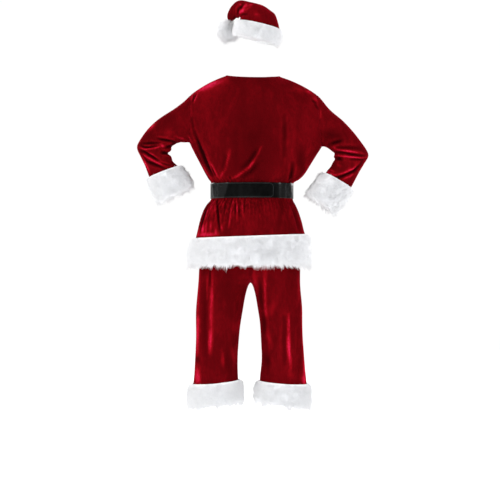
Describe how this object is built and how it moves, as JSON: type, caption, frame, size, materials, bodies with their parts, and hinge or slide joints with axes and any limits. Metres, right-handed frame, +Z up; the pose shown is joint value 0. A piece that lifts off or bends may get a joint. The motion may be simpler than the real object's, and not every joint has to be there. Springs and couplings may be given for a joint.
{
  "type": "santa suit",
  "caption": "Hollow worn santa suit of red velvet with white plush trim: belted jacket, trousers and folded hat, hands-on-hips pose.",
  "frame": {"origin": "middle of the jacket's neck opening, where the wearer holds the suit up", "axes": "+Z up along the wearer, +X to the wearer's left, and the suit faces -Y, so its back is towards +Y"},
  "size_m": [0.881, 0.3449, 1.5469],
  "materials": {
    "velvet": "dark red crushed velvet with a short shiny nap",
    "plush": "white long pile plush",
    "belt_vinyl": "black shiny vinyl",
    "buckle_metal": "polished gold tone"
  },
  "bodies": {
    "root": {"jacket_back": "velvet", "jacket_front_left": "velvet", "jacket_front_right": "velvet", "sleeve_left": "velvet", "sleeve_right": "velvet", "jacket_hem_plush": "plush", "jacket_front_plush": "plush", "cuff_plush_left": "plush", "cuff_plush_right": "plush", "belt_strap": "belt_vinyl", "belt_buckle": "buckle_metal", "trouser_waistband": "velvet", "trouser_back_left": "velvet", "trouser_back_right": "velvet", "trouser_front_left": "velvet", "trouser_front_right": "velvet", "leg_plush_left": "plush", "leg_plush_right": "plush", "hat_crown_back": "velvet", "hat_crown_front": "velvet", "hat_band_plush": "plush", "hat_pompom": "plush"}
  },
  "joints": []
}
